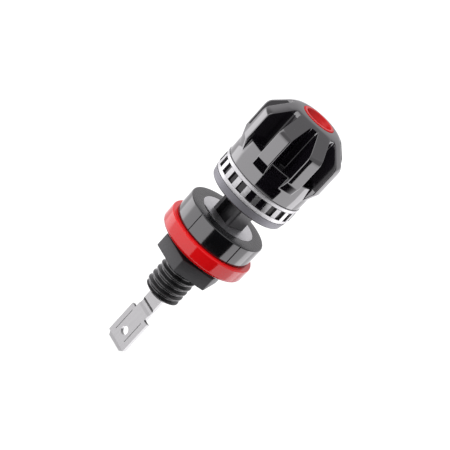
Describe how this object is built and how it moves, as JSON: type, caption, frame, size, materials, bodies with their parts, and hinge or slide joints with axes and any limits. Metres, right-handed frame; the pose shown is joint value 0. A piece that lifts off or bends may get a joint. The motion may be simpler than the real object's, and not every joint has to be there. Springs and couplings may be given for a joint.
{
  "type": "panel binding post",
  "caption": "Panel binding post: ribbed clamp knob with plug socket over an insulated base, threaded shank with hex nut, and a flat blade terminal.",
  "frame": {"origin": "centre of the panel seat, the rim under the colour ring", "axes": "+Z along the axis towards the knob, the blade terminal points to -Z"},
  "size_m": [0.02, 0.02, 0.0641],
  "materials": {
    "base_black": "glossy moulded sides, matte top",
    "ring_red": "glossy red moulding",
    "plate_nickel": "bright nickel plate",
    "post_black": "fine matte moulding",
    "strip_tin": "tinned strip with fine lengthwise lines",
    "spindle_nickel": "turned and nickel plated",
    "spring_steel": "plain spring steel",
    "nut_black": "matte moulded nut",
    "collar_satin": "satin nickel",
    "washer_brass": "plain brass",
    "knob_black": "high gloss black moulding",
    "bush_brass": "turned brass",
    "band_nickel": "bright plated ring",
    "insert_red": "glossy red insert"
  },
  "bodies": {
    "base": {"base_body": "base_black", "colour_ring": "ring_red", "contact_plate": "plate_nickel", "guide_post": "post_black", "terminal_strip": "strip_tin", "socket_spindle": "spindle_nickel", "captive_ring": "spring_steel"},
    "clamp": {"pressure_collar": "collar_satin", "thrust_washer": "washer_brass", "snap_ring": "spring_steel"},
    "knob": {"knob_shell": "knob_black", "threaded_bush": "bush_brass", "slotted_ring": "band_nickel", "socket_insert": "insert_red"},
    "nut": {"fixing_nut": "nut_black"}
  },
  "joints": [
    {"name": "clamp_lift", "type": "slide", "parent": "base", "child": "clamp", "axis": [0, 0, 1], "range_m": [-0.0055, 0.0009]},
    {"name": "knob_turn", "type": "hinge", "parent": "clamp", "child": "knob", "pos_m": [0, 0, 0.0242], "axis": [0, 0, 1], "range_deg": [-1980, 324]},
    {"name": "nut_travel", "type": "slide", "parent": "base", "child": "nut", "axis": [0, 0, 1], "range_m": [-0.0085, 0]}
  ],
  "couplings": [
    {"joint": "clamp_lift", "follows": "knob_turn", "m_per_rad": 0.00015915}
  ]
}
